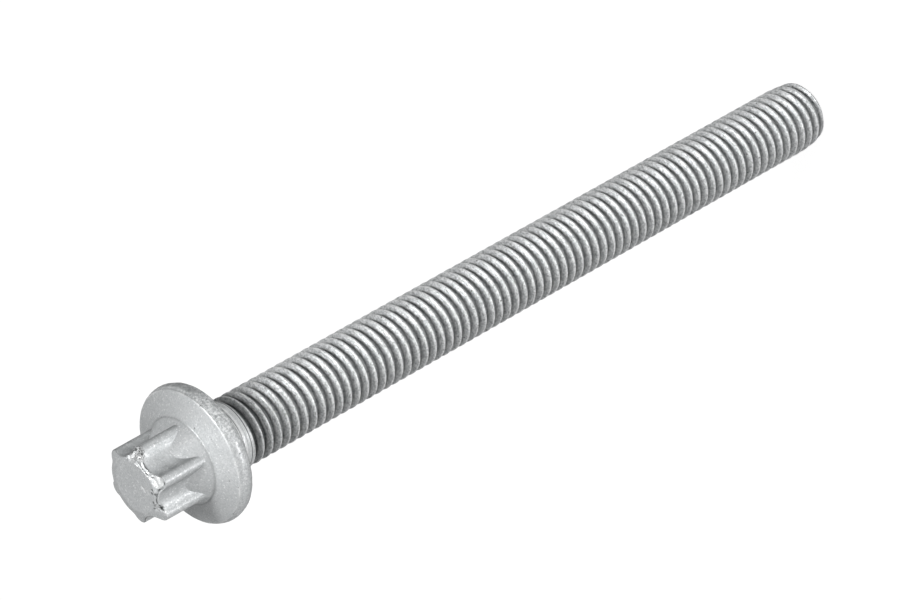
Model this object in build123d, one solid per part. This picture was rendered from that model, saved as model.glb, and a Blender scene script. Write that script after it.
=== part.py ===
from build123d import *

import os
from math import cos, pi, radians, sin, tan

# A flanged bolt with an external six-lobed head, in millimetres, +Z up.
# It stands on the flat end of its thread with the head up, one lobe towards +X.
# The origin is the centre of the bearing face under the flange, on the bolt's axis.

# Shank: the plain envelope of the thread
THREAD_MAJOR_DIAMETER = 7.87
LENGTH_UNDER_HEAD = 92.7
TIP_DIAMETER = 6.5
TIP_CHAMFER_ANGLE = 45
UNDER_HEAD_FILLET = 0.4

# Flange: a flat bearing face, a bulging rim and a low cone on top
FLANGE_DIAMETER = 15.56
BEARING_FACE_DIAMETER = 15.2
FLANGE_TOP_DIAMETER = 15.06
FLANGE_RIM_HEIGHT = 1.75
FLANGE_TOP_SLOPE = 19
FLANGE_EDGE_FILLET = 0.15

# Shoulder: the cone on which the flutes run out
SHOULDER_DIAMETER = 9.76
SHOULDER_HALF_ANGLE = 29
SHOULDER_FILLET = 0.35

# Drive: six lobes with concave flutes between them, and a chamfered end
LOBE_COUNT = 6
LOBE_POINT_DIAMETER = 9.2
LOBE_POINT_RADIUS = 0.75
FLUTE_VALLEY_DIAMETER = 6.7
HEAD_HEIGHT = 9.2
END_FLAT_DIAMETER = 5.8
END_CHAMFER_SLOPE = 19

# The shoulder cone goes on inside the drive to this share of the flutes' valley radius
CORE_SHARE = 0.6


def turned_body():
    """Everything that is round: the shank, the flange and the shoulder cone."""
    shank = THREAD_MAJOR_DIAMETER / 2
    tip = TIP_DIAMETER / 2
    flange_top = FLANGE_TOP_DIAMETER / 2
    shoulder = SHOULDER_DIAMETER / 2
    core = CORE_SHARE * FLUTE_VALLEY_DIAMETER / 2
    chamfer_top = -LENGTH_UNDER_HEAD + (shank - tip) / tan(radians(TIP_CHAMFER_ANGLE))
    shoulder_foot = FLANGE_RIM_HEIGHT + (flange_top - shoulder) * tan(radians(FLANGE_TOP_SLOPE))
    core_top = shoulder_foot + (shoulder - core) / tan(radians(SHOULDER_HALF_ANGLE))

    neck_corner = (shank, 0)
    bearing_corner = (BEARING_FACE_DIAMETER / 2, 0)
    rim_middle = (FLANGE_DIAMETER / 2, FLANGE_RIM_HEIGHT / 2)
    top_corner = (flange_top, FLANGE_RIM_HEIGHT)
    shoulder_corner = (shoulder, shoulder_foot)
    rounded_corners = [
        (neck_corner, UNDER_HEAD_FILLET),
        (bearing_corner, FLANGE_EDGE_FILLET),
        (top_corner, FLANGE_EDGE_FILLET),
        (shoulder_corner, SHOULDER_FILLET),
    ]

    with BuildSketch() as half_section:
        with BuildLine():
            Polyline((0, core_top), (0, -LENGTH_UNDER_HEAD), (tip, -LENGTH_UNDER_HEAD), (shank, chamfer_top))
            Polyline((shank, chamfer_top), neck_corner, bearing_corner)
            ThreePointArc(bearing_corner, rim_middle, top_corner)
            Polyline(top_corner, shoulder_corner, (core, core_top), (0, core_top))
        make_face()
        for corner, radius in rounded_corners:
            fillet(half_section.vertices().sort_by_distance(corner)[0], radius)
    return revolve(Plane.XZ * half_section.sketch, Axis.Z)


def at_angle(radius, angle):
    """A point in the plane of the lobes, from its radius and its angle in radians."""
    return Vector(radius * cos(angle), radius * sin(angle))


def lobe_outline():
    """Rounded lobe points joined by concave flutes, every arc tangent to the next."""
    half_step = pi / LOBE_COUNT
    point = LOBE_POINT_DIAMETER / 2
    valley = FLUTE_VALLEY_DIAMETER / 2
    point_centre = point - LOBE_POINT_RADIUS
    reach = point_centre * cos(half_step)
    across = point_centre * sin(half_step)

    # The flute's arc touches the point's arc: hypot(valley + flute - reach, across) = LOBE_POINT_RADIUS + flute
    depth = valley - reach
    flute_radius = (LOBE_POINT_RADIUS**2 - depth**2 - across**2) / (2 * (depth - LOBE_POINT_RADIUS))
    flute_centre = valley + flute_radius
    share = LOBE_POINT_RADIUS / (LOBE_POINT_RADIUS + flute_radius)

    def touch(lobe_angle, flute_angle):
        middle = at_angle(point_centre, lobe_angle)
        return middle + (at_angle(flute_centre, flute_angle) - middle) * share

    with BuildSketch() as outline:
        with BuildLine():
            for lobe in range(LOBE_COUNT):
                angle = 2 * half_step * lobe
                before = touch(angle, angle - half_step)
                after = touch(angle, angle + half_step)
                following = touch(angle + 2 * half_step, angle + half_step)
                ThreePointArc(before, at_angle(point, angle), after)
                ThreePointArc(after, at_angle(valley, angle + half_step), following)
        make_face()
    return outline.sketch


def drive():
    """The lobed prism above the flange, its end cut to a chamfered cone."""
    flat = END_FLAT_DIAMETER / 2
    clear = LOBE_POINT_DIAMETER
    chamfer_foot = HEAD_HEIGHT - (clear - flat) * tan(radians(END_CHAMFER_SLOPE))
    prism = extrude(Pos(0, 0, FLANGE_RIM_HEIGHT) * lobe_outline(), HEAD_HEIGHT - FLANGE_RIM_HEIGHT)
    end_section = Polygon(
        (0, -HEAD_HEIGHT), (clear, -HEAD_HEIGHT), (clear, chamfer_foot), (flat, HEAD_HEIGHT), (0, HEAD_HEIGHT),
        align=None,
    )
    return prism & revolve(Plane.XZ * end_section, Axis.Z)


os.makedirs("parts", exist_ok=True)
bolt = turned_body() + drive()
export_step(bolt, "parts/bolt.step")
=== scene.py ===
from math import atan2, ceil, cos, hypot, pi, radians, sin, tan

import bpy
import numpy as np
from mathutils import Matrix, Vector, noise


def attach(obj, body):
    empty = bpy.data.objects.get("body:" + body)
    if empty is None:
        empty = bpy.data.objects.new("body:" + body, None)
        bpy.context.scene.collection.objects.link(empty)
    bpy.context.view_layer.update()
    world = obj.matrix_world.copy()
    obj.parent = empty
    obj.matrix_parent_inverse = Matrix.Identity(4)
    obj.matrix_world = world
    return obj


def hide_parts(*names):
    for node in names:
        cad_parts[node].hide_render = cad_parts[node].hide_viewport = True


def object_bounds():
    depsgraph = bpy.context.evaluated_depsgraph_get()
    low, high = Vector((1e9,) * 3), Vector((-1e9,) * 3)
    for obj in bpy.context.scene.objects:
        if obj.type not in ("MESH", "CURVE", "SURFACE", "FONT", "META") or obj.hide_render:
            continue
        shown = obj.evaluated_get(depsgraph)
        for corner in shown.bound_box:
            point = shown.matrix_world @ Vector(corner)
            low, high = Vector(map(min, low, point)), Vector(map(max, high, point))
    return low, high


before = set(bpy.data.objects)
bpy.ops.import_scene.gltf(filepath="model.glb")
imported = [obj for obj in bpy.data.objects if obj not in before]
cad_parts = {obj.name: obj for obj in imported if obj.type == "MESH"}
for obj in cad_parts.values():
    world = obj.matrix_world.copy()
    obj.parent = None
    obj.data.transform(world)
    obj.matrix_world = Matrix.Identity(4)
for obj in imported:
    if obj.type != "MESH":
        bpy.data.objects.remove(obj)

bl_info = {
    "name": "Hexalobular Head Bolt",
    "version": (1, 0, 0),
    "blender": (4, 5, 0),
    "location": "View3D > Sidebar > Bolt",
    "description": "A flanged bolt with an external six-lobed head and a rolled thread",
    "category": "Object",
}

# The bolt stands on the end of its thread, head up, and the origin is the centre of the bearing face.
MM = 0.001
CAD_LOW, CAD_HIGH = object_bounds()
FLOOR_HEIGHT = CAD_LOW.z
HEAD_TOP = CAD_HIGH.z
NODE = "bolt"
BODY = "root"
# The seed of the crests' unevenness and of the broken planes' tilts
SEED = 4


# Sizes and colours that a user can change

def length(name, description, millimetres):
    """A length property, in metres, with its default given in millimetres."""
    return bpy.props.FloatProperty(
        name=name,
        description=description,
        default=millimetres * MM,
        min=0.0,
        precision=5,
        unit="LENGTH",
        subtype="DISTANCE",
    )


def share(name, description, default, most=1.0):
    """A plain factor."""
    return bpy.props.FloatProperty(
        name=name,
        description=description,
        default=default,
        min=0.0,
        max=most,
        subtype="FACTOR",
    )


def turn(name, description, degrees):
    """An angle property, with its default given in degrees."""
    return bpy.props.FloatProperty(
        name=name,
        description=description,
        default=radians(degrees),
        unit="ROTATION",
        subtype="ANGLE",
    )


def linear(hex_colour):
    """An sRGB hex colour as linear red, green and blue."""
    channels = [int(hex_colour[i:i + 2], 16) / 255 for i in (1, 3, 5)]
    return [c / 12.92 if c <= 0.04045 else ((c + 0.055) / 1.055) ** 2.4 for c in channels]


def colour(name, description, hex_colour):
    """A colour property, with its default given as sRGB hex."""
    return bpy.props.FloatVectorProperty(
        name=name,
        description=description,
        default=linear(hex_colour),
        min=0.0,
        max=1.0,
        size=3,
        subtype="COLOR",
    )


class HeadSizes(bpy.types.PropertyGroup):
    """Sizes of the flange, the shoulder and the six lobes."""
    flange_diameter: length("Flange Diameter", "Over the bulge of the flange's rim", 15.56)
    bearing_diameter: length("Bearing Diameter", "Of the flat face under the flange", 15.2)
    flange_top_diameter: length("Flange Top Diameter", "Of the edge between rim and top", 15.06)
    rim_height: length("Rim Height", "From the bearing face to the top edge of the rim", 1.75)
    flange_slope: turn("Flange Slope", "Slope of the flange's top", 19)
    shoulder_diameter: length("Shoulder Diameter", "Where the flange's top meets the shoulder cone", 9.76)
    shoulder_angle: turn("Shoulder Angle", "Between the shoulder cone and the bolt's axis", 29)
    lobe_diameter: length("Lobe Diameter", "Over the points of the lobes", 9.2)
    lobe_radius: length("Lobe Radius", "Of each lobe's rounded point", 0.75)
    valley_diameter: length("Valley Diameter", "Between the bottoms of opposite flutes", 6.7)
    flat_diameter: length("End Flat Diameter", "Of the flat on the end of the head", 5.8)
    end_slope: turn("End Slope", "Slope of the chamfer round the end flat", 19)
    neck_fillet: length("Neck Fillet", "Between the neck and the bearing face", 0.4)
    knocks: share("Knocks", "How deep the chips and burrs on the lobes are", 1.0)
    burr_height: length("Burr Height", "How far burrs stand up from the end flat", 0.06)
    mouth_height: length("Mouth Height", "How far down the flash in the flutes' mouths reaches", 0.9)


class ThreadSizes(bpy.types.PropertyGroup):
    """Sizes of the neck, the rolled thread and its chamfered end."""
    major_diameter: length("Major Diameter", "Over the crests", 7.87)
    pitch: length("Pitch", "From crest to crest", 1.25)
    depth: length("Thread Depth", "From crest to root", 0.72)
    crest_height: length("Crest Place", "From the bearing face down to one crest, at the crest angle", 7.32)
    crest_angle: turn("Crest Angle", "Round the bolt, where that crest is measured", 252.6)
    neck_turns: bpy.props.IntProperty(
        name="Neck Turns",
        description="Crests from the measured one up to the end of the thread",
        default=3,
        min=1,
    )
    tip_diameter: length("Tip Diameter", "Of the flat end of the thread", 6.5)
    crest_wear: length("Crest Wear", "How far the rolled crest is uneven", 0.03)
    turning_marks: length("Turning Marks", "Depth of the fine rings on the neck", 0.04)
    groove_place: length("Neck Groove", "From the bearing face to the groove beside the thread", 3.05)
    segments: bpy.props.IntProperty(
        name="Segments",
        description="Steps round the bolt",
        default=84,
        min=12,
        max=96,
    )


class FinishLook(bpy.types.PropertyGroup):
    """Colours and gloss of the coating."""
    coating: colour("Coating", "Zinc-flake coating on the head", "#d4d6d7")
    # A lighter copy of the head's coating, so the whole thread is painted lighter than the head
    rolled: colour("Rolled Coating", "The same coating on the rolled thread", "#e4e6e7")
    dull: colour("Dull Coating", "Coating between the flakes", "#bcbfc0")
    # Bare metal's colour, which the painted glints and painted highlights also take
    bright: colour("Bright Metal", "Knocked and rubbed coating", "#f6f7f7")
    # The head's painted shade takes this colour too, as do pinholes and dirt
    speck: colour("Specks", "Pinholes and dirt in the coating", "#4b4e4e")
    # The grooves' painted shade takes this colour, and so do the dark streaks, scuffs and rings
    groove_shade: colour("Recess", "Thin coating and oil in the thread's grooves", "#444748")
    roughness: share("Roughness", "Of the coating", 0.44)
    grain: length("Grain", "Width of one grain of the coating", 0.2)


class StudioLook(bpy.types.PropertyGroup):
    """Floor and lamps."""
    floor: colour("Floor", "Floor sheet, as it lights the bolt", "#6e6e6e")
    key: share("Key Light", "Strength of the lamp above the head", 0.64, 5.0)
    top: share("Top Light", "Strength of the large lamp straight above", 0.48, 5.0)
    front: share("Front Light", "Strength of the large lamp in front", 0.15, 5.0)
    low: share("Low Light", "Strength of the small lamp just above the floor", 0.28, 5.0)
    side: share("Side Light", "Strength of the large lamp beside the bolt", 0.09, 5.0)
    fill: share("Surroundings", "Strength of the light all round", 0.13, 5.0)


# Making meshes

# Edges that turn by more than this stay sharp in the shading
SHARP_ANGLE = radians(50)


def finished(name, vertices, faces, material, sharp):
    """A shown mesh object with outward normals, shaded smooth except at edges sharper than the angle."""
    mesh = bpy.data.meshes.new(name)
    mesh.from_pydata(vertices, [], faces)
    mesh.materials.append(material)
    mesh.polygons.foreach_set("use_smooth", [True] * len(mesh.polygons))
    mesh.set_sharp_from_angle(angle=sharp)
    piece = bpy.data.objects.new(name, mesh)
    bpy.context.scene.collection.objects.link(piece)
    return piece


def hand_over(piece):
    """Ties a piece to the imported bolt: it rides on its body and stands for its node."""
    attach(piece, BODY)
    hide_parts(NODE)


def set_attribute(mesh, name, values):
    """Stores one number for each point of the mesh, for its material to read."""
    attribute = mesh.attributes.new(name, "FLOAT", "POINT")
    attribute.data.foreach_set("value", values)


def add_node(tree, kind, inputs=None, **settings):
    """Adds a node with its settings.

    An input is given a value, a socket, or a node whose first output it takes.
    """
    node = tree.nodes.new(kind)
    for name, value in settings.items():
        setattr(node, name, value)
    for key, value in (inputs or {}).items():
        if isinstance(value, bpy.types.Node):
            value = value.outputs[0]
        if isinstance(value, bpy.types.NodeSocket):
            tree.links.new(value, node.inputs[key])
        else:
            node.inputs[key].default_value = value
    return node


def rising(value, low, high):
    """How far each value is on its way from low to high, from 0 to 1."""
    return np.clip((value - low) / (high - low), 0, 1)


def near_line(distance, width):
    """1 on a line, fading to almost nothing at twice that width away from it."""
    return np.exp(-((distance / width) ** 2))


def lumps(points, size):
    """Smooth noise at each point, from -1 to 1, with lumps about that far across."""
    return np.array([noise.noise(Vector(point) / size) for point in points])


# The head

LOBES = 6
# Steps round each lobe's point, each flute, and each rounding of the section
POINT_STEPS = 18
FLUTE_STEPS = 28
ARC_STEPS = 6
# A rounding reaches at least this far along both sides of its corner, which keeps its points apart
LEAST_REACH = 0.02 * MM
# It takes at most this share of either side, so that two roundings never meet
MOST_REACH_SHARE = 0.45

# Inside the shank, the head's skin starts this far below the neck's fillet, and this far within the neck
STUB_BELOW = 0.02 * MM
STUB_WITHIN = 0.01 * MM
# Roundings of the flange's edges, the shoulder's foot and top, and the head's end
FLANGE_EDGE_ROUNDING = 0.15 * MM
SHOULDER_ROUNDING = 0.35 * MM
CREASE_ROUNDING = 0.3 * MM
FLASH_ROUNDING = 0.5 * MM
MOUTH_ROUNDING = 0.1 * MM
FLAT_ROUNDING = 0.2 * MM

# Forging flash fills these flutes' mouths, in the middle up to this share of the lobes' radius.
# It falls off as the cosine of a multiple of the angle from the flute's middle
FILLED_FLUTES = (radians(30), radians(90))
FLASH_REACH = 0.875
FLASH_NARROWNESS = 2.4


def rounded_path(corners):
    """Points along a path of corners (radius, height, rounding, steps to the next, bulge of that run)."""
    places = [Vector((c[0], c[1])) for c in corners]
    entry = [places[0]]
    leave = [places[0]]
    for i in range(1, len(corners) - 1):
        before = places[i - 1] - places[i]
        after = places[i + 1] - places[i]
        half_turn = (pi - before.angle(after)) / 2
        reach = max(corners[i][2] * tan(half_turn), LEAST_REACH)
        reach = min(reach, MOST_REACH_SHARE * before.length, MOST_REACH_SHARE * after.length)
        entry.append(places[i] + before.normalized() * reach)
        leave.append(places[i] + after.normalized() * reach)
    entry.append(places[-1])
    path = [places[0]]
    for i in range(len(corners) - 1):
        start, end = leave[i], entry[i + 1]
        steps, bulge = corners[i][3], corners[i][4]
        side = Vector((end.y - start.y, start.x - end.x)).normalized()
        for k in range(1, steps + 1):
            t = k / steps
            path.append(start.lerp(end, t) + side * (4 * t * (1 - t) * bulge))
        if i + 2 < len(corners):
            for k in range(1, ARC_STEPS + 1):
                t = k / ARC_STEPS
                first = entry[i + 1].lerp(places[i + 1], t)
                second = places[i + 1].lerp(leave[i + 1], t)
                path.append(first.lerp(second, t))
    return path


def lobe_columns(sizes):
    """Angle and radius of the lobes' outline, step by step.

    Rounded points are joined by hollow flutes, and every arc is tangent to the next.
    """
    half_step = pi / LOBES
    point = sizes.lobe_diameter / 2
    valley = sizes.valley_diameter / 2
    rounding = sizes.lobe_radius
    point_centre = point - rounding
    reach = point_centre * cos(half_step)
    across = point_centre * sin(half_step)
    depth = valley - reach
    flute_radius = (rounding**2 - depth**2 - across**2) / (2 * (depth - rounding))
    flute_centre = valley + flute_radius
    # Each arc ends on the line through its own centre and the next arc's
    to_flute = Vector((flute_centre * cos(half_step) - point_centre, flute_centre * sin(half_step)))
    point_sweep = atan2(to_flute.y, to_flute.x)
    flute_sweep = point_sweep - half_step
    columns = []
    for lobe in range(LOBES):
        middle = 2 * half_step * lobe
        for k in range(POINT_STEPS):
            around = middle + point_sweep * (2 * k / POINT_STEPS - 1)
            x = point_centre * cos(middle) + rounding * cos(around)
            y = point_centre * sin(middle) + rounding * sin(around)
            columns.append((atan2(y, x), hypot(x, y)))
        middle += half_step
        for k in range(FLUTE_STEPS):
            around = middle + pi + flute_sweep * (1 - 2 * k / FLUTE_STEPS)
            x = flute_centre * cos(middle) + flute_radius * cos(around)
            y = flute_centre * sin(middle) + flute_radius * sin(around)
            columns.append((atan2(y, x), hypot(x, y)))
    return columns


def filled_mouth(sizes, angle, wall):
    """Radius of the head's end at that angle, where flash fills two flutes' mouths up to the lobes."""
    level = FLASH_REACH * sizes.lobe_diameter / 2
    fill = 0.0
    for flute in FILLED_FLUTES:
        fill += max(0.0, cos(min(pi / 2, abs(angle - flute) * FLASH_NARROWNESS)))
    return wall + max(0.0, level - wall) * min(1.0, fill)


def head_section(sizes, neck, wall, mouth):
    """The head's section from inside the neck, over the flange and up a wall to the axis.

    The wall stands that far from the axis, and ends as wide as the mouth.
    """
    bearing = sizes.bearing_diameter / 2
    top = sizes.flange_top_diameter / 2
    rim = sizes.rim_height
    shoulder = sizes.shoulder_diameter / 2
    flat = sizes.flat_diameter / 2
    shoulder_foot = rim + (top - shoulder) * tan(sizes.flange_slope)
    crease = shoulder_foot + (shoulder - wall) / tan(sizes.shoulder_angle)
    end = HEAD_TOP - sizes.burr_height
    wall_top = end - (mouth - flat) * tan(sizes.end_slope)
    bulge = sizes.flange_diameter / 2 - (bearing + top) / 2
    stub = sizes.neck_fillet + STUB_BELOW
    corners = [
        (0.0, -stub, 0.0, 2, 0.0),
        (neck - STUB_WITHIN, -stub, 0.0, 1, 0.0),
        (neck, 0.0, sizes.neck_fillet, 12, 0.0),
        (bearing, 0.0, FLANGE_EDGE_ROUNDING, 10, bulge),
        (top, rim, FLANGE_EDGE_ROUNDING, 16, 0.0),
        (shoulder, shoulder_foot, SHOULDER_ROUNDING, 12, 0.0),
        (wall, crease, CREASE_ROUNDING, 20, 0.0),
        (wall, wall_top - sizes.mouth_height, FLASH_ROUNDING, 14, 0.0),
        (mouth, wall_top, MOUTH_ROUNDING, 14, 0.0),
        (flat, end, FLAT_ROUNDING, 30, 0.0),
        (0.0, end, 0.0, 0, 0.0),
    ]
    return rounded_path(corners)


def ringed_mesh(rings):
    """Vertices and faces of a closed skin over rings of points, the first and last of them single points."""
    columns = len(rings[1])
    vertices = [rings[0][0]]
    for ring in rings[1:-1]:
        vertices.extend(ring)
    vertices.append(rings[-1][0])
    last = len(vertices) - 1
    faces = []
    for c in range(columns):
        following = (c + 1) % columns
        faces.append((0, 1 + following, 1 + c))
        for r in range(len(rings) - 3):
            low = 1 + r * columns
            high = low + columns
            faces.append((low + c, low + following, high + following, high + c))
        high = 1 + (len(rings) - 3) * columns
        faces.append((high + c, high + following, last))
    return vertices, faces


def make_head(sizes, neck, material):
    """The flange, the shoulder cone and the lobes as one closed mesh."""
    columns = lobe_columns(sizes)
    mouths = [filled_mouth(sizes, angle, wall) for angle, wall in columns]
    sections = [head_section(sizes, neck, wall, mouth) for (_, wall), mouth in zip(columns, mouths)]
    rings = []
    for row in range(len(sections[0])):
        ring = []
        for (angle, _), section in zip(columns, sections):
            radius, height = section[row]
            ring.append((radius * cos(angle), radius * sin(angle), height))
        rings.append(ring)
    vertices, faces = ringed_mesh(rings)
    piece = finished("flanged_head", vertices, faces, material, SHARP_ANGLE)
    mesh = piece.data
    normals = np.empty(len(vertices) * 3)
    mesh.vertex_normals.foreach_get("vector", normals)
    # Broken planes take their tilts from noise that differs from run to run unless it is seeded
    noise.seed_set(SEED)
    knocks = Knocks(np.array(vertices), normals.reshape(-1, 3), sizes.knocks)
    mouth = np.array([0.0] + mouths * (len(rings) - 2) + [0.0])
    edge_height = HEAD_TOP - sizes.burr_height - (mouth - sizes.flat_diameter / 2) * tan(sizes.end_slope)
    from_edge = np.hypot(knocks.radius() - mouth, knocks.points[:, 2] - edge_height)
    wear_skin(knocks)
    chip_front_lobe(knocks)
    burr_front_flute(knocks)
    hammer_next_lobe(knocks)
    scuff_end(knocks)
    paint_head_shade_and_highlight(knocks, from_edge)
    knocks.keep_inside()
    mesh.vertices.foreach_set("co", knocks.points.ravel())
    mesh.update()
    for face in mesh.polygons:
        face.use_smooth = bool(min(knocks.broken[i] for i in face.vertices) < FLAT_FACED)
    mesh.set_sharp_from_angle(angle=SHARP_ANGLE)
    # The bare mark holds wear and painted highlights, the dirt mark holds dirt and painted shade
    set_attribute(mesh, "bare_and_highlight", knocks.bare_and_highlight)
    set_attribute(mesh, "dirt_and_shade", knocks.dirt_and_shade)
    set_attribute(mesh, "scuff", knocks.rim_share() * knocks.scuffed_side())
    return piece


# Wear on the head, and its painted shade and highlights

# Broken metal shows small tilted planes, this wide, parted by cracks that take a share of their width
PLANE_SIZE = 0.4 * MM
CRACK_SHARE = 0.14
# A plane's place times these picks its tilt and its tone from the noise
TILT_FACTOR = 3.7
TONE_FACTOR = 5.3
# Where a chip is broken more than this, its planes are shaded flat, and its cracks are dirty
FLAT_FACED = 0.8
# Burrs and cracks are uneven in lumps about this far across
LUMP_SIZE = 0.25 * MM
# Each run of a burr's or crack's path is followed in this many steps
LINE_STEPS = 12

# The rim of the flange starts this far from the axis, and is full rim a little farther out
RIM_START = 7.4 * MM
RIM_FULL = 7.55 * MM
# The rim is scuffed most round this angle, its lit side, where the light scuffs are partly a painted
# highlight, and over this much to either side, and by a share all round
SCUFFED_LIT_ANGLE = radians(-82)
SCUFFED_SPREAD = radians(32)
SCUFF_ALL_ROUND = 0.3

# The forged skin's waves and the hammered rim: how far across, and how deep
WAVE_SIZE = 1.1 * MM
WAVE_DEPTH = 0.008 * MM
HAMMER_SIZE = 0.42 * MM
HAMMER_DEPTH = 0.025 * MM

# Walls that face this way get a painted shade, in blotches of about this size
SHADED_SIDE_ANGLE = radians(-17)
BLOTCH_SIZE = 0.9 * MM
# Edges that get a painted shade or a painted highlight, as radius and height, and how wide that is
END_SHADE_WIDTH = 0.1 * MM
HIGHLIGHT_EDGE = (7.5 * MM, 1.77 * MM)
HIGHLIGHT_WIDTH = 0.08 * MM
HIGHLIGHT_PATCH_SIZE = 1.6 * MM
SHOULDER_FOOT = (4.9 * MM, 2.7 * MM)
SHOULDER_SHADE_WIDTH = 0.12 * MM
REAR_SHADE_HEIGHT = 0.22 * MM


def facet(place, size):
    """A broken surface of small tilted planes.

    Gives its height at a place, how near a crack that is, and its plane's tone.
    """
    scaled = place / size
    distances, cells = noise.voronoi(scaled)
    cell = cells[0]
    height = (scaled - cell).dot(noise.noise_vector(cell * TILT_FACTOR)) * size
    crack = max(0.0, 1 - (distances[1] - distances[0]) / CRACK_SHARE)
    return height, crack, noise.cell(cell * TONE_FACTOR)


class Knocks:
    """Chips, burrs and cracks worked into the head's points, and how bare or dirty they leave the coating.
    The same marks also carry the head's painted shade and painted highlights.

    Places, widths and depths of single knocks are given in millimetres.
    """

    def __init__(self, points, normals, strength):
        self.points = points
        self.normals = normals
        self.strength = strength
        self.lumps = lumps(points, LUMP_SIZE)
        self.broken = np.zeros(len(points))
        self.bare_and_highlight = np.zeros(len(points))
        self.dirt_and_shade = np.zeros(len(points))

    def radius(self):
        """How far each point is from the axis."""
        return np.hypot(self.points[:, 0], self.points[:, 1])

    def rim_share(self):
        """How far each point lies on the flange's rim, from 0 to 1."""
        return rising(self.radius(), RIM_START, RIM_FULL) * (self.points[:, 2] > 0)

    def scuffed_side(self):
        """How far the rim is scuffed: most on its lit side, where the light scuffs are partly a painted
        highlight, less all round.
        """
        around = np.arctan2(self.points[:, 1], self.points[:, 0])
        turned = np.angle(np.exp(1j * (around - SCUFFED_LIT_ANGLE)))
        return SCUFF_ALL_ROUND + (1 - SCUFF_ALL_ROUND) * near_line(turned, SCUFFED_SPREAD)

    def move(self, amount):
        """Moves each point along its normal."""
        self.points = self.points + self.normals * (amount * self.strength)[:, None]

    def press(self, centre, size, depth, broken, bare_and_highlight=0.0, dirt_and_shade=0.0):
        """Presses a chip in around the centre, its bottom broken into small planes."""
        distance = np.linalg.norm(self.points - np.array(centre) * MM, axis=1) / (size * MM)
        near = np.clip(1 - distance**2, 0, 1)
        amount = -depth * MM * np.sqrt(near)
        covered = np.minimum(1, near * 2)
        for i in np.nonzero(near)[0]:
            height, crack, tone = facet(Vector(self.points[i]), PLANE_SIZE)
            amount[i] += broken * height * near[i]
            if broken > FLAT_FACED:
                self.dirt_and_shade[i] = max(self.dirt_and_shade[i], 0.9 * crack * covered[i])
                covered[i] *= 0.4 + 0.6 * abs(tone)
        self.move(amount)
        self.broken = np.maximum(self.broken, broken * covered)
        self.bare_and_highlight = np.maximum(self.bare_and_highlight, bare_and_highlight * covered)
        self.dirt_and_shade = np.maximum(self.dirt_and_shade, dirt_and_shade * covered)

    def line(self, path, width, height, bare_and_highlight=0.0, dirt_and_shade=0.0):
        """Raises a thin burr along a path of places, or with a height below 0 cuts a crack."""
        places = [np.array(place) * MM for place in path]
        best = np.full(len(self.points), np.inf)
        for start, end in zip(places, places[1:]):
            for t in np.linspace(0, 1, LINE_STEPS):
                distance = np.linalg.norm(self.points - (start + (end - start) * t), axis=1)
                best = np.minimum(best, distance)
        ridge = near_line(best * (1 + 1.2 * self.lumps), width * MM) * (1 + 1.8 * self.lumps)
        self.move(height * MM * ridge)
        self.bare_and_highlight = np.maximum(self.bare_and_highlight, bare_and_highlight * ridge)
        self.dirt_and_shade = np.maximum(self.dirt_and_shade, dirt_and_shade * ridge)

    def keep_inside(self):
        """Keeps every point inside the box of the CAD model."""
        self.points = np.clip(self.points, np.array(CAD_LOW), np.array(CAD_HIGH))


def wear_skin(knocks):
    """The forged skin's slow waves, and the hammered rim."""
    knocks.move((lumps(knocks.points, WAVE_SIZE) - 1) * WAVE_DEPTH)
    rim = knocks.rim_share()
    knocks.move((lumps(knocks.points, HAMMER_SIZE) - 1) * rim * HAMMER_DEPTH)


def chip_front_lobe(knocks):
    """The lobe over the front flute is chipped, and cracked beside the chip."""
    knocks.press((2.3, -3.0, 8.9), 0.85, 0.18, 0.9, bare_and_highlight=0.8)
    knocks.press((2.35, -3.75, 8.55), 0.65, 0.18, 1.2, bare_and_highlight=0.8)
    knocks.press((1.8, -3.8, 8.65), 0.6, 0.1, 1.6, bare_and_highlight=1.0)
    knocks.press((1.3, -3.6, 8.85), 0.5, 0.06, 1.4, bare_and_highlight=1.0)
    knocks.line(((2.95, -2.5, 8.7), (2.85, -1.85, 8.8), (2.43, -1.88, 9.12)), 0.1, -0.08, dirt_and_shade=1.0)
    knocks.line(((2.15, -4.1, 8.45), (1.9, -3.5, 8.75), (1.95, -3.0, 8.95)), 0.11, -0.1, dirt_and_shade=1.0)
    knocks.line(((1.55, -3.95, 8.5), (1.5, -3.4, 8.85), (1.25, -3.1, 9.0)), 0.11, -0.1, dirt_and_shade=1.0)
    knocks.line(((2.6, -3.9, 8.5), (2.45, -3.3, 8.75), (2.05, -2.9, 8.95)), 0.09, -0.07, dirt_and_shade=0.9)
    knocks.line(((1.75, -3.75, 8.65), (1.2, -3.45, 8.9)), 0.09, -0.07, dirt_and_shade=0.9)


def burr_front_flute(knocks):
    """Two burrs run on from the chip along the flute's mouth, with dark creases between and below them."""
    rear_burr = (
        (1.74, -2.45, 9.13), (0.57, -2.86, 9.14), (-0.27, -2.93, 9.14),
        (-1.11, -2.86, 9.12), (-1.7, -2.65, 9.1),
    )
    front_burr = (
        (1.2, -3.5, 8.92), (0.72, -3.22, 9.02), (0.27, -3.12, 9.07),
        (-0.12, -3.14, 9.08), (-0.7, -3.25, 9.04),
    )
    crease = ((1.3, -3.0, 9.02), (0.65, -3.02, 9.08), (-0.1, -3.03, 9.1), (-0.6, -3.03, 9.08))
    lower_crease = (
        (1.15, -3.7, 8.75), (0.6, -3.43, 8.85), (0.1, -3.36, 8.85),
        (-0.5, -3.47, 8.8), (-1.3, -3.85, 8.55),
    )
    knocks.line(rear_burr, 0.06, 0.07, bare_and_highlight=0.9)
    knocks.line(front_burr, 0.07, 0.06, bare_and_highlight=0.7)
    knocks.line(crease, 0.07, -0.06, dirt_and_shade=0.9)
    knocks.line(lower_crease, 0.1, -0.05, dirt_and_shade=0.9)


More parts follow.
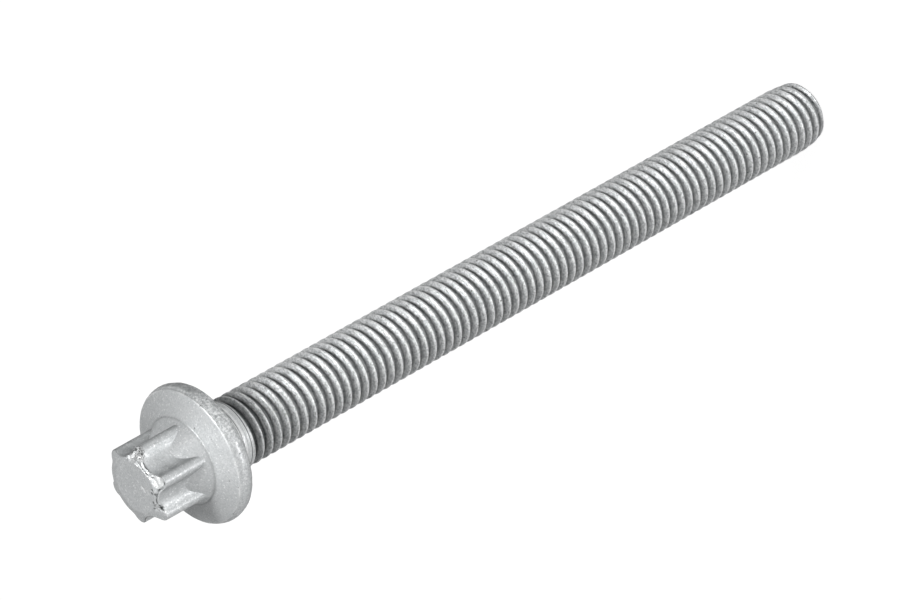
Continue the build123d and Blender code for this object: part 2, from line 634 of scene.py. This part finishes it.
def hammer_next_lobe(knocks):
    """The next lobe's end is hammered light, and its edge towards the lower flute is dark down to a nick."""
    knocks.press((-0.85, -3.3, 9.0), 0.35, 0.04, 1.0, bare_and_highlight=0.8)
    knocks.press((-1.75, -3.35, 8.9), 0.75, 0.05, 0.7, bare_and_highlight=0.5)
    corner = (
        (-1.35, -3.85, 8.6), (-1.95, -3.97, 8.6), (-2.4, -3.65, 8.65),
        (-2.45, -3.2, 8.8), (-2.3, -2.6, 8.95),
    )
    edge = (
        (-2.3, -2.6, 8.95), (-2.5, -1.85, 9.05), (-2.75, -1.3, 9.05),
        (-3.1, -1.02, 9.0), (-3.5, -0.87, 8.9),
    )
    knocks.line(corner, 0.1, -0.06, dirt_and_shade=0.9)
    knocks.line(edge, 0.09, -0.04, dirt_and_shade=0.9)
    spall = (-3.2, -0.75, 9.0)
    nick = (-3.62, -0.86, 8.87)
    spark = (-4.05, -0.76, 8.68)
    knocks.press(spall, 0.6, 0.06, 1.4, bare_and_highlight=0.2)
    knocks.press(nick, 0.34, 0.24, 0.8, dirt_and_shade=1.0)
    knocks.press(spark, 0.2, 0.03, 0.5, bare_and_highlight=0.9)
    specks = (
        (-2.3, -1.9, 9.1), (-1.9, -1.6, 9.14), (-2.6, -0.8, 9.1),
        (-3.0, -0.2, 9.05), (-1.75, -2.0, 9.12),
    )
    for speck in specks:
        knocks.press(speck, 0.16, 0.05, 0.5, dirt_and_shade=0.8)


def scuff_end(knocks):
    """Light scuffs on the end face."""
    knocks.line(((-0.55, -0.9, 9.14), (-0.9, -0.95, 9.14), (-1.17, -0.8, 9.14)), 0.1, -0.04, bare_and_highlight=1.0)
    knocks.line(((-1.3, -1.25, 9.14), (-1.65, -1.1, 9.14)), 0.1, -0.04, bare_and_highlight=0.7)
    knocks.line(((3.3, -0.7, 9.0), (3.4, 0.0, 9.0), (3.3, 0.6, 9.0)), 0.06, 0.02, bare_and_highlight=0.5)


def paint_head_shade_and_highlight(knocks, from_edge):
    """Painted shade on one side of the walls and along edges, and a painted highlight along the flange's
    edge.

    Each point's distance from the edge between the end's chamfer and the wall is given.
    """
    x, y, height = knocks.points.T
    radius = knocks.radius()

    # The walls of the lobes and the rim get a painted shade on one side
    facing = knocks.normals @ np.array((cos(SHADED_SIDE_ANGLE), sin(SHADED_SIDE_ANGLE), 0.0))
    upright = (1 - rising(np.abs(knocks.normals[:, 2]), 0.27, 0.42)) * (height > 0)
    side_shade = rising(facing, 0.3, 0.8) * (0.42 + 0.2 * lumps(knocks.points, BLOTCH_SIZE))
    knocks.dirt_and_shade = np.maximum(knocks.dirt_and_shade, side_shade * upright)

    # A painted shade lies along the edge of the end, on the side away from the knocks
    away = np.clip(0.5 + 2 * (y + 0.35 * x) / HEAD_TOP, 0, 1)
    knocks.dirt_and_shade = np.maximum(knocks.dirt_and_shade, 0.75 * near_line(from_edge, END_SHADE_WIDTH) * away)

    # The flange's edge gets a painted highlight here and there
    from_highlight_edge = np.hypot(radius - HIGHLIGHT_EDGE[0], height - HIGHLIGHT_EDGE[1])
    patches = np.clip(0.4 + 3 * lumps(knocks.points, HIGHLIGHT_PATCH_SIZE), 0, 1)
    knocks.bare_and_highlight = np.maximum(knocks.bare_and_highlight, near_line(from_highlight_edge, HIGHLIGHT_WIDTH) * patches)

    # A painted shade lies along the flange's rear edge and the foot of the shoulder
    rear = (1 - rising(height, 0.0, REAR_SHADE_HEIGHT)) * rising(radius, 7.35 * MM, 7.45 * MM)
    from_foot = np.hypot(radius - SHOULDER_FOOT[0], height - SHOULDER_FOOT[1])
    knocks.dirt_and_shade = np.maximum(knocks.dirt_and_shade, 0.8 * rear)
    knocks.dirt_and_shade = np.maximum(knocks.dirt_and_shade, 0.3 * near_line(from_foot, SHOULDER_SHADE_WIDTH))


# The threaded shank

ROWS_PER_TURN = 14
# How far rows crowd towards crest and root
CREST_CROWDING = 0.4
# Places in one turn of the thread, and the share of the full depth there
PROFILE = (
    (0.03, 0.02), (0.08, 0.16), (0.32, 0.9), (0.39, 1.0),
    (0.5, 1.0), (0.57, 0.9), (0.79, 0.16), (0.87, 0.03),
)
# Places in one turn, and how dark the painted shade in the groove is there: dark in the root, darkest
# on the flank that faces the tip
GROOVE_SHADE = (
    (0.18, 0.02), (0.22, 0.2), (0.26, 0.6), (0.3, 0.72),
    (0.38, 0.65), (0.5, 0.75), (0.72, 0.9), (0.94, 0.2),
)
# Turns past the last crest where the groove starts to fade, and where it is gone
FADE_START = 0.3
FADE_END = 0.75
# The rolled crest is uneven down to this share of the thread's depth, in lumps about this far across
CREST_SHARE = 0.18
UNEVEN_SIZE = 1.3 * MM

# Fine rings on the neck, and a groove beside the thread that is this many times as deep
RING_WIDTH = 0.16 * MM
GROOVE_HALF_WIDTH = 0.11 * MM
GROOVE_DEPTH = 1.6

# The crests taper towards the end face: there they are this much lower, and rise by a share of the way up
TAPER_DEPTH = 0.3 * MM
TAPER_RISE = 0.1
# The shank ends this far up inside the flange
THREAD_TOP = 0.6 * MM
# Rows narrower than this are closed on the axis, where the weld joins their points
CLOSED_RADIUS = 0.05 * MM
WELD_DISTANCE = 0.001 * MM
# The weld rounds the height of the end's middle by up to 0.002 mm, so the end stands clear of the floor
END_CLEARANCE = 0.004 * MM

THREAD_INPUTS = (
    "Radius", "Pitch", "Depth", "Tip Radius", "Start Height", "End Height", "Top Height",
    "Thread Turns", "Crest Wear", "Turning Marks", "Neck Groove", "Segments", "Rows", "Seed",
)


def thread_tree(material):
    """Geometry Nodes that wind the shank's skin.

    Its rows follow the helix, each at its depth in the thread's profile.
    """
    tree = bpy.data.node_groups.new("rolled_thread", "GeometryNodeTree")
    tree.interface.new_socket("Geometry", in_out="OUTPUT", socket_type="NodeSocketGeometry")
    for name in THREAD_INPUTS:
        kind = "NodeSocketInt" if name in ("Segments", "Rows", "Seed") else "NodeSocketFloat"
        tree.interface.new_socket(name, in_out="INPUT", socket_type=kind)
    given = add_node(tree, "NodeGroupInput").outputs
    maths = "ShaderNodeMath"

    # A flat sheet: across it once round the bolt, along it one unit for each turn
    across = add_node(tree, maths, {0: given["Segments"], 1: 1.0}, operation="ADD")
    along = add_node(tree, maths, {0: given["Rows"], 1: 1.0}, operation="ADD")
    turns = add_node(tree, maths, {0: given["Rows"], 1: float(ROWS_PER_TURN)}, operation="DIVIDE")
    sheet = add_node(
        tree, "GeometryNodeMeshGrid",
        {"Size X": 1.0, "Size Y": turns, "Vertices X": across, "Vertices Y": along},
    )
    place = add_node(tree, "ShaderNodeSeparateXYZ", {0: add_node(tree, "GeometryNodeInputPosition")})
    round_share = add_node(tree, maths, {0: place.outputs["X"], 1: 0.5}, operation="ADD")
    half = add_node(tree, maths, {0: turns, 1: 0.5}, operation="MULTIPLY")
    even_turn = add_node(tree, maths, {0: place.outputs["Y"], 1: half}, operation="ADD")

    # Rows crowd towards crest and root, where the profile bends
    double = add_node(tree, maths, {0: even_turn, 1: 4 * pi}, operation="MULTIPLY")
    swing = add_node(tree, maths, {0: double}, operation="SINE")
    shift = add_node(tree, maths, {0: swing, 1: -CREST_CROWDING / (4 * pi)}, operation="MULTIPLY")
    row_turn = add_node(tree, maths, {0: even_turn, 1: shift}, operation="ADD")

    # Height of the row, then how far it runs past either end of the shank
    climb = add_node(tree, maths, {0: row_turn, 1: round_share}, operation="ADD")
    height = add_node(
        tree, maths, {0: climb, 1: given["Pitch"], 2: given["Start Height"]}, operation="MULTIPLY_ADD"
    )
    above_end = add_node(tree, maths, {0: height, 1: given["End Height"]}, operation="MAXIMUM")
    kept_height = add_node(tree, maths, {0: above_end, 1: given["Top Height"]}, operation="MINIMUM")
    beyond = add_node(tree, maths, {0: height, 1: kept_height}, operation="SUBTRACT")
    overrun = add_node(tree, maths, {0: beyond}, operation="ABSOLUTE")

    # Curves over one turn, towards the head: the profile from crest to crest, and the painted shade of the
    # groove
    turn_share = add_node(tree, maths, {0: row_turn}, operation="FRACT")
    curves = {}
    for name, spots in (("profile", PROFILE), ("groove_shade", GROOVE_SHADE)):
        curve = add_node(tree, "ShaderNodeFloatCurve", {"Value": turn_share})
        points = curve.mapping.curves[0].points
        points[0].location = (0.0, 0.0)
        points[1].location = (1.0, 0.0)
        for spot in spots:
            points.new(*spot)
        curve.mapping.update()
        curves[name] = curve
    profile = curves["profile"]

    # The groove fades out behind the bolt, on its way up into the plain neck
    groove = add_node(tree, maths, {0: row_turn}, operation="FLOOR")
    wound = add_node(tree, maths, {0: groove, 1: round_share}, operation="ADD")
    left = add_node(tree, maths, {0: given["Thread Turns"], 1: wound}, operation="SUBTRACT")
    fade = add_node(
        tree, "ShaderNodeMapRange",
        {"Value": left, "From Min": 0.0, "From Max": FADE_END - FADE_START, "To Min": 0.0, "To Max": 1.0},
        interpolation_type="SMOOTHSTEP",
    )
    cut = add_node(tree, maths, {0: profile, 1: fade}, operation="MULTIPLY")
    cut_depth = add_node(tree, maths, {0: cut, 1: given["Depth"]}, operation="MULTIPLY")

    # The plain neck was turned: fine rings, and one deeper groove beside the thread
    ring_place = add_node(tree, maths, {0: height, 1: 1 / RING_WIDTH}, operation="MULTIPLY")
    rings = add_node(
        tree, "ShaderNodeTexNoise",
        {"W": ring_place, "Scale": 1.0, "Detail": 2.0, "Roughness": 0.8}, noise_dimensions="1D",
    )
    from_groove = add_node(tree, maths, {0: height, 1: given["Neck Groove"]}, operation="SUBTRACT")
    groove_share = add_node(tree, maths, {0: from_groove, 1: 1 / GROOVE_HALF_WIDTH}, operation="MULTIPLY")
    groove_square = add_node(tree, maths, {0: groove_share, 1: groove_share}, operation="MULTIPLY")
    groove_side = add_node(tree, maths, {0: 1.0, 1: groove_square}, operation="SUBTRACT", use_clamp=True)
    ringed = add_node(tree, maths, {0: groove_side, 1: GROOVE_DEPTH, 2: rings}, operation="MULTIPLY_ADD")
    plain = add_node(tree, maths, {0: 1.0, 1: fade}, operation="SUBTRACT")
    turned = add_node(tree, maths, {0: ringed, 1: plain}, operation="MULTIPLY")
    turned_depth = add_node(tree, maths, {0: turned, 1: given["Turning Marks"]}, operation="MULTIPLY")

    # The crest was squeezed up between the rolling dies, and is uneven
    angle = add_node(tree, maths, {0: round_share, 1: 2 * pi}, operation="MULTIPLY")
    cosine = add_node(tree, maths, {0: angle}, operation="COSINE")
    sine = add_node(tree, maths, {0: angle}, operation="SINE")
    shell_x = add_node(tree, maths, {0: cosine, 1: given["Radius"]}, operation="MULTIPLY")
    shell_y = add_node(tree, maths, {0: sine, 1: given["Radius"]}, operation="MULTIPLY")
    shell = add_node(tree, "ShaderNodeCombineXYZ", {"X": shell_x, "Y": shell_y, "Z": height})
    unevenness = add_node(
        tree, "ShaderNodeTexNoise",
        {"Vector": shell, "Scale": 1 / UNEVEN_SIZE, "Detail": 3.0, "W": given["Seed"]},
        noise_dimensions="4D",
    )
    near_crest = add_node(
        tree, "ShaderNodeMapRange",
        {"Value": profile, "From Min": 0.0, "From Max": CREST_SHARE, "To Min": 1.0, "To Max": 0.0},
    )
    worn = add_node(tree, maths, {0: unevenness, 1: near_crest}, operation="MULTIPLY")
    worn_depth = add_node(tree, maths, {0: worn, 1: given["Crest Wear"]}, operation="MULTIPLY")

    # Radius: crest less cut and wear, no more than the taper and the end's chamfer leave
    smooth_radius = add_node(tree, maths, {0: given["Radius"], 1: turned_depth}, operation="SUBTRACT")
    uncut = add_node(tree, maths, {0: smooth_radius, 1: cut_depth}, operation="SUBTRACT")
    threaded = add_node(tree, maths, {0: uncut, 1: worn_depth}, operation="SUBTRACT")
    from_end = add_node(tree, maths, {0: kept_height, 1: given["End Height"]}, operation="SUBTRACT")
    chamfer = add_node(tree, maths, {0: from_end, 1: given["Tip Radius"]}, operation="ADD")
    full_end = add_node(tree, maths, {0: given["Radius"], 1: TAPER_DEPTH}, operation="SUBTRACT")
    taper = add_node(tree, maths, {0: from_end, 1: TAPER_RISE, 2: full_end}, operation="MULTIPLY_ADD")
    tapered = add_node(tree, maths, {0: threaded, 1: taper}, operation="MINIMUM")
    chamfered = add_node(tree, maths, {0: tapered, 1: chamfer}, operation="MINIMUM")

    # Rows past either end close in over its face, and the innermost lie on the axis
    closing = add_node(tree, maths, {0: chamfered, 1: overrun}, operation="SUBTRACT")
    still_open = add_node(tree, maths, {0: closing, 1: CLOSED_RADIUS}, operation="GREATER_THAN")
    radius = add_node(tree, maths, {0: closing, 1: still_open}, operation="MULTIPLY")
    x = add_node(tree, maths, {0: cosine, 1: radius}, operation="MULTIPLY")
    y = add_node(tree, maths, {0: sine, 1: radius}, operation="MULTIPLY")
    wound_place = add_node(tree, "ShaderNodeCombineXYZ", {"X": x, "Y": y, "Z": kept_height})

    # Marks for the coating. In the last 3.5 turns below the neck the grooves' painted shade grows darker than
    # the rest, a painted shadow of the flange
    crest_share = add_node(tree, maths, {0: near_crest, 1: fade}, operation="MULTIPLY")
    painted_flange_shadow = add_node(
        tree, "ShaderNodeMapRange",
        {"Value": left, "From Min": 1.2, "From Max": 3.5, "To Min": 1.6, "To Max": 1.0},
    )
    dark = add_node(tree, maths, {0: curves["groove_shade"], 1: painted_flange_shadow}, operation="MULTIPLY", use_clamp=True)
    groove_shade_share = add_node(tree, maths, {0: dark, 1: fade}, operation="MULTIPLY")
    marks = {"crest": crest_share, "groove_shade": groove_shade_share, "turned": plain, "rolled": fade}
    marked = sheet.outputs["Mesh"]
    for mark, value in marks.items():
        marked = add_node(
            tree, "GeometryNodeStoreNamedAttribute",
            {"Geometry": marked, "Name": mark, "Value": value},
            data_type="FLOAT", domain="POINT",
        )
    wrapped = add_node(tree, "GeometryNodeSetPosition", {"Geometry": marked, "Position": wound_place})
    welded = add_node(tree, "GeometryNodeMergeByDistance", {"Geometry": wrapped, "Distance": WELD_DISTANCE})
    smooth = add_node(tree, "GeometryNodeSetShadeSmooth", {"Geometry": welded})
    real = add_node(tree, "GeometryNodeRealizeInstances", {"Geometry": smooth})
    coated = add_node(tree, "GeometryNodeSetMaterial", {"Geometry": real, "Material": material})
    add_node(tree, "NodeGroupOutput", {0: coated})
    return tree


def make_thread(sizes, material):
    """The neck, the thread and its chamfered end as one closed mesh."""
    pitch = sizes.pitch
    radius = sizes.major_diameter / 2
    tip = sizes.tip_diameter / 2
    crest = -sizes.crest_height
    crest_share = sizes.crest_angle / (2 * pi)
    # Rows start at least a turn below where the end face closes, and run on until the top has closed too
    turns_below = ceil((crest - (FLOOR_HEIGHT - tip - pitch)) / pitch)
    start = crest - (turns_below + crest_share) * pitch
    turns = ceil((THREAD_TOP + radius - start) / pitch)
    values = {
        "Radius": radius,
        "Pitch": pitch,
        "Depth": sizes.depth,
        "Tip Radius": tip,
        "Start Height": start,
        "End Height": FLOOR_HEIGHT + END_CLEARANCE,
        "Top Height": THREAD_TOP,
        "Thread Turns": turns_below + sizes.neck_turns - 1 + crest_share + FADE_END,
        "Crest Wear": sizes.crest_wear,
        "Turning Marks": sizes.turning_marks,
        "Neck Groove": -sizes.groove_place,
        "Segments": sizes.segments,
        "Rows": turns * ROWS_PER_TURN,
        "Seed": SEED,
    }
    tree = thread_tree(material)
    maker = bpy.data.objects.new("thread_maker", bpy.data.meshes.new("thread_maker"))
    bpy.context.scene.collection.objects.link(maker)
    modifier = maker.modifiers.new("rolled_thread", "NODES")
    modifier.node_group = tree
    for item in tree.interface.items_tree:
        if item.in_out == "INPUT":
            modifier[item.identifier] = values[item.name]
    evaluated = maker.evaluated_get(bpy.context.evaluated_depsgraph_get())
    mesh = bpy.data.meshes.new_from_object(evaluated)
    maker.modifiers.clear()
    bpy.data.objects.remove(maker)
    mesh.name = "threaded_shank"
    mesh.set_sharp_from_angle(angle=SHARP_ANGLE)
    piece = bpy.data.objects.new("threaded_shank", mesh)
    bpy.context.scene.collection.objects.link(piece)
    return piece


# The coating

def zinc_flake_coating(look, coating, name):
    """Baked-on zinc-flake coating on steel: matt silver grey, fine flakes with painted glints, small
    pinholes, and painted shade and highlights where marked.
    """
    material = bpy.data.materials.new(name)
    material.use_nodes = True
    tree = material.node_tree
    tree.nodes.clear()
    maths = "ShaderNodeMath"
    coords = add_node(tree, "ShaderNodeTexCoord").outputs["Object"]
    level = add_node(tree, "ShaderNodeSeparateXYZ", {0: coords}).outputs["Z"]
    marks = {}
    for mark in ("bare_and_highlight", "dirt_and_shade", "scuff", "crest", "groove_shade", "turned", "rolled"):
        marks[mark] = add_node(tree, "ShaderNodeAttribute", attribute_name=mark).outputs["Fac"]

    # Noise: the coating's grain, its slow mottle, the rough rim, and the turning marks on the neck,
    # which are rings about a fifth of a millimetre apart with finer ones between them
    grain = add_node(
        tree, "ShaderNodeTexNoise",
        {"Vector": coords, "Scale": 1 / look.grain, "Detail": 3.0, "Roughness": 0.7},
    )
    mottle = add_node(
        tree, "ShaderNodeTexNoise",
        {"Vector": coords, "Scale": 1 / (1.4 * MM), "Detail": 4.0, "Roughness": 0.6},
    )
    rough = add_node(
        tree, "ShaderNodeTexNoise",
        {"Vector": coords, "Scale": 1 / (0.3 * MM), "Detail": 4.0, "Roughness": 0.75},
    )
    rings = add_node(
        tree, "ShaderNodeTexNoise",
        {"W": level, "Scale": 1 / (0.22 * MM), "Detail": 2.0, "Roughness": 0.7}, noise_dimensions="1D",
    )

    # Cells: single flakes, drawn coarser than they are, and pinholes
    flakes = add_node(tree, "ShaderNodeTexVoronoi", {"Vector": coords, "Scale": 1 / (0.13 * MM)})
    flake_share = add_node(tree, "ShaderNodeSeparateColor", {0: flakes.outputs["Color"]})
    pinholes = add_node(tree, "ShaderNodeTexVoronoi", {"Vector": coords, "Scale": 1 / (1.5 * MM)})

    # Rolling left streaks round the thread, drawn coarser than they are
    along = add_node(
        tree, "ShaderNodeVectorMath",
        {0: coords, 1: (1 / (0.5 * MM), 1 / (0.5 * MM), 1 / (0.13 * MM))}, operation="MULTIPLY",
    )
    streaks = add_node(
        tree, "ShaderNodeTexNoise", {"Vector": along, "Scale": 1.0, "Detail": 3.0, "Roughness": 0.75},
    )

    # How much of each layer shows: none where its pattern has the first value, and the most, which is
    # the third value, where it has the second
    blend = add_node(tree, maths, {0: grain, 1: 0.75}, operation="MULTIPLY")
    blend = add_node(tree, maths, {0: mottle, 1: 0.25, 2: blend}, operation="MULTIPLY_ADD")
    layers = {
        "light_grain": (blend, 0.38, 0.62, 1.0),
        "glint": (flake_share.outputs[0], 0.93, 0.97, 0.6),
        "rubbed_crest_and_highlight": (grain, 0.4, 0.55, 0.9),
        "dark_streak": (streaks, 0.46, 0.32, 0.45),
        "light_streak": (streaks, 0.5, 0.6, 0.8),
        "dark_scuff": (rough, 0.5, 0.34, 0.5),
        "light_scuff_and_highlight": (rough, 0.5, 0.62, 0.9),
        "pit": (grain, 0.44, 0.34, 0.5),
        "dark_ring": (rings, 0.46, 0.34, 0.8),
        "light_ring": (rings, 0.48, 0.6, 1.0),
        "pinhole": (pinholes.outputs["Distance"], 0.075, 0.03, 1.0),
    }
    shown = {}
    for layer, (pattern, none_at, most_at, most) in layers.items():
        shown[layer] = add_node(
            tree, "ShaderNodeMapRange",
            {"Value": pattern, "From Min": none_at, "From Max": most_at, "To Min": 0.0, "To Max": most},
        )

    # Some layers show only on the crests, on the rolled thread, on the scuffed rim or on the turned neck
    places = {
        "rubbed_crest_and_highlight": "crest",
        "dark_streak": "rolled",
        "light_streak": "rolled",
        "dark_scuff": "scuff",
        "light_scuff_and_highlight": "scuff",
        "dark_ring": "turned",
        "light_ring": "turned",
    }
    for layer, mark in places.items():
        shown[layer] = add_node(tree, maths, {0: marks[mark], 1: shown[layer]}, operation="MULTIPLY")

    # Bright colour: painted glints on single flakes, knocked places and the painted highlights marked on the
    # head, and the crests, which are rubbed and get a painted highlight
    bare_and_highlight = add_node(tree, maths, {0: shown["glint"], 1: marks["bare_and_highlight"]}, operation="ADD")
    bare_and_highlight = add_node(tree, maths, {0: bare_and_highlight, 1: shown["rubbed_crest_and_highlight"]}, operation="ADD", use_clamp=True)

    # The thread's grooves get a painted shade, with pits; the pinholes are dark, and so is what the head
    # marks as dirt and painted shade
    deep = add_node(tree, maths, {0: shown["pit"], 1: 0.92}, operation="ADD", use_clamp=True)
    deep = add_node(tree, maths, {0: marks["groove_shade"], 1: deep}, operation="MULTIPLY")
    dirty = add_node(tree, maths, {0: shown["pinhole"], 1: marks["dirt_and_shade"]}, operation="MAXIMUM")

    # The colour: each layer laid over those before it
    colours = (
        (shown["light_grain"], coating),
        (bare_and_highlight, look.bright),
        (shown["dark_streak"], look.groove_shade),
        (shown["light_streak"], look.bright),
        (shown["dark_scuff"], look.groove_shade),
        (shown["light_scuff_and_highlight"], look.bright),
        (deep, look.groove_shade),
        (shown["dark_ring"], look.groove_shade),
        (shown["light_ring"], look.bright),
        (dirty, look.speck),
    )
    finish = (*look.dull, 1.0)
    for amount, tint in colours:
        mixed = add_node(tree, "ShaderNodeMix", {0: amount, 6: finish, 7: (*tint, 1.0)}, data_type="RGBA")
        finish = mixed.outputs[2]

    # Gloss: light grains, bare metal, the painted glints and the painted highlights are smoother than the
    # coating round them
    gloss = add_node(
        tree, maths, {0: shown["light_grain"], 1: -0.12, 2: look.roughness + 0.06}, operation="MULTIPLY_ADD"
    )
    gloss = add_node(tree, maths, {0: bare_and_highlight, 1: -0.12, 2: gloss}, operation="MULTIPLY_ADD")

    # Relief: grain and a slow ripple, then the rough rim, the streaks, flakes that lie at slightly
    # different tilts, and the rings, each at its own height
    rough_rim = add_node(tree, maths, {0: rough, 1: marks["scuff"]}, operation="MULTIPLY")
    streak_height = add_node(tree, maths, {0: streaks, 1: marks["rolled"]}, operation="MULTIPLY")
    ring_height = add_node(tree, maths, {0: rings, 1: marks["turned"]}, operation="MULTIPLY")
    heights = (
        (mottle, 1.5),
        (rough_rim, 2.5),
        (streak_height, 3.0),
        (flake_share.outputs[1], 0.3),
        (ring_height, 3.0),
    )
    relief = grain
    for pattern, height in heights:
        relief = add_node(tree, maths, {0: pattern, 1: height, 2: relief}, operation="MULTIPLY_ADD")
    bump = add_node(tree, "ShaderNodeBump", {"Strength": 0.8, "Distance": 0.02 * MM, "Height": relief})
    shader = add_node(
        tree, "ShaderNodeBsdfPrincipled",
        {
            "Base Color": finish,
            "Metallic": 0.45,
            "Roughness": gloss,
            "Specular IOR Level": 0.1,
            "Specular Tint": (0.1, 0.1, 0.1, 1.0),
            "Normal": bump,
        },
    )
    add_node(tree, "ShaderNodeOutputMaterial", {"Surface": shader})
    return material


# The stage

# How white the floor is where the camera or a reflection sees it
FLOOR_WHITE = 0.93
FLOOR_HALF_WIDTH = 3.0
# The lamps aim at the upper part of the shank
LAMP_AIM = Vector((0, 0, -0.03))
CAMERA_PLACE = Vector((-123.1277, -396.0087, 268.8515)) * MM
CAMERA_RIGHT = Vector((-0.62207233, -0.34692479, -0.70190399))
CAMERA_UP = Vector((0.74502268, -0.53795132, -0.39439774))
CAMERA_LENS = 193.788


def white_floor(look):
    """A matt sheet, seen as white by the camera and in the metal, which keeps the bolt's shadow."""
    material = bpy.data.materials.new("white_floor")
    material.use_nodes = True
    tree = material.node_tree
    tree.nodes.clear()
    maths = "ShaderNodeMath"
    sheet = add_node(tree, "ShaderNodeBsdfDiffuse", {"Color": (*look.floor, 1.0)})
    path = add_node(tree, "ShaderNodeLightPath")
    seen = add_node(
        tree, maths,
        {0: path.outputs["Is Camera Ray"], 1: path.outputs["Is Glossy Ray"]}, operation="MAXIMUM",
    )
    seen = add_node(tree, maths, {0: seen, 1: path.outputs["Is Transmission Ray"]}, operation="MAXIMUM")
    strength = add_node(tree, maths, {0: seen, 1: FLOOR_WHITE}, operation="MULTIPLY")
    glow = add_node(tree, "ShaderNodeEmission", {"Color": (1.0, 1.0, 1.0, 1.0), "Strength": strength})
    mixed = add_node(tree, "ShaderNodeAddShader", {0: sheet, 1: glow})
    add_node(tree, "ShaderNodeOutputMaterial", {"Surface": mixed})
    return material


def make_floor(look):
    """A large pale floor under the end of the thread."""
    signs = ((-1, -1), (1, -1), (1, 1), (-1, 1))
    corners = [(x * FLOOR_HALF_WIDTH, y * FLOOR_HALF_WIDTH, FLOOR_HEIGHT) for x, y in signs]
    floor = finished("floor", corners, [(0, 1, 2, 3)], white_floor(look), pi)


def make_lamp(name, direction, distance, size, light):
    """A round soft lamp that aims at the bolt. Light is what a white sheet facing it would give back."""
    data = bpy.data.lights.new(name, "AREA")
    data.shape = "DISK"
    data.size = size
    # A disk of area A and power W has radiance W / (pi A); a far sheet receives radiance * A / distance^2
    data.energy = light * pi * pi * distance**2
    lamp = bpy.data.objects.new(name, data)
    lamp.location = LAMP_AIM + Vector(direction).normalized() * distance
    lamp.rotation_mode = "QUATERNION"
    lamp.rotation_quaternion = (LAMP_AIM - lamp.location).to_track_quat("-Z", "Y")
    lamp.visible_camera = False
    bpy.context.scene.collection.objects.link(lamp)


def make_camera():
    """The camera where the photographer's stood, turned with the bolt."""
    data = bpy.data.cameras.new("camera")
    data.lens = CAMERA_LENS
    data.sensor_width = 36.0
    data.clip_start = 0.01
    data.clip_end = 10.0
    camera = bpy.data.objects.new("camera", data)
    right = CAMERA_RIGHT.normalized()
    back = right.cross(CAMERA_UP).normalized()
    up = back.cross(right)
    turned = Matrix((right, up, back)).transposed().to_4x4()
    camera.matrix_world = Matrix.Translation(CAMERA_PLACE) @ turned
    bpy.context.scene.collection.objects.link(camera)
    bpy.context.scene.camera = camera


def make_world(look):
    """Even pale light from all round."""
    world = bpy.data.worlds.new("studio")
    world.use_nodes = True
    tree = world.node_tree
    tree.nodes.clear()
    background = add_node(
        tree, "ShaderNodeBackground", {"Color": (1.0, 1.0, 1.0, 1.0), "Strength": look.fill}
    )
    add_node(tree, "ShaderNodeOutputWorld", {"Surface": background})
    bpy.context.scene.world = world


# Operators and panel

class BOLT_OT_add_head(bpy.types.Operator):
    """Add the flange, the shoulder and the six-lobed head"""
    bl_idname = "bolt.add_head"
    bl_label = "Add Head"

    def execute(self, context):
        scene = context.scene
        coating = zinc_flake_coating(scene.bolt_finish, scene.bolt_finish.coating, "zinc_flake_coating_head")
        hand_over(make_head(scene.bolt_head, scene.bolt_thread.major_diameter / 2, coating))
        return {"FINISHED"}


class BOLT_OT_add_thread(bpy.types.Operator):
    """Add the neck, the rolled thread and its chamfered end"""
    bl_idname = "bolt.add_thread"
    bl_label = "Add Thread"

    def execute(self, context):
        scene = context.scene
        coating = zinc_flake_coating(scene.bolt_finish, scene.bolt_finish.rolled, "zinc_flake_coating_thread")
        hand_over(make_thread(scene.bolt_thread, coating))
        return {"FINISHED"}


class BOLT_OT_add_stage(bpy.types.Operator):
    """Add the floor, the lamps, the surroundings and the camera"""
    bl_idname = "bolt.add_stage"
    bl_label = "Add Stage"

    def execute(self, context):
        look = context.scene.bolt_studio
        make_floor(look)
        make_world(look)
        make_lamp("key", direction=(0.27, -0.4, 0.866), distance=0.6, size=0.2, light=look.key)
        make_lamp("top", direction=(-0.25, -0.1, 1.0), distance=0.6, size=0.7, light=look.top)
        make_lamp("front", direction=(-0.04, -0.95, 0.309), distance=0.6, size=0.4, light=look.front)
        make_lamp("low", direction=(-0.72, -0.662, -0.208), distance=0.22, size=0.03, light=look.low)
        make_lamp("side", direction=(-0.983, 0.041, 0.174), distance=0.6, size=0.5, light=look.side)
        make_camera()
        context.scene.view_settings.view_transform = "Standard"
        return {"FINISHED"}


class BOLT_PT_sidebar(bpy.types.Panel):
    """Sizes, colours and the buttons that make the bolt"""
    bl_label = "Hexalobular Head Bolt"
    bl_space_type = "VIEW_3D"
    bl_region_type = "UI"
    bl_category = "Bolt"

    def draw(self, context):
        scene = context.scene
        groups = (
            (scene.bolt_head, "bolt.add_head"),
            (scene.bolt_thread, "bolt.add_thread"),
            (scene.bolt_finish, None),
            (scene.bolt_studio, "bolt.add_stage"),
        )
        for group, operator in groups:
            box = self.layout.box()
            for name in group.bl_rna.properties.keys():
                if name not in ("rna_type", "name"):
                    box.prop(group, name)
            if operator:
                box.operator(operator)


GROUPS = {
    "bolt_head": HeadSizes,
    "bolt_thread": ThreadSizes,
    "bolt_finish": FinishLook,
    "bolt_studio": StudioLook,
}
CLASSES = (BOLT_OT_add_head, BOLT_OT_add_thread, BOLT_OT_add_stage, BOLT_PT_sidebar)


def register():
    for name, group in GROUPS.items():
        bpy.utils.register_class(group)
        setattr(bpy.types.Scene, name, bpy.props.PointerProperty(type=group))
    for cls in CLASSES:
        bpy.utils.register_class(cls)


def unregister():
    for cls in reversed(CLASSES):
        bpy.utils.unregister_class(cls)
    for name, group in GROUPS.items():
        delattr(bpy.types.Scene, name)
        bpy.utils.unregister_class(group)


def main():
    register()
    bpy.ops.bolt.add_head()
    bpy.ops.bolt.add_thread()
    bpy.ops.bolt.add_stage()


if __name__ == "__main__":
    main()
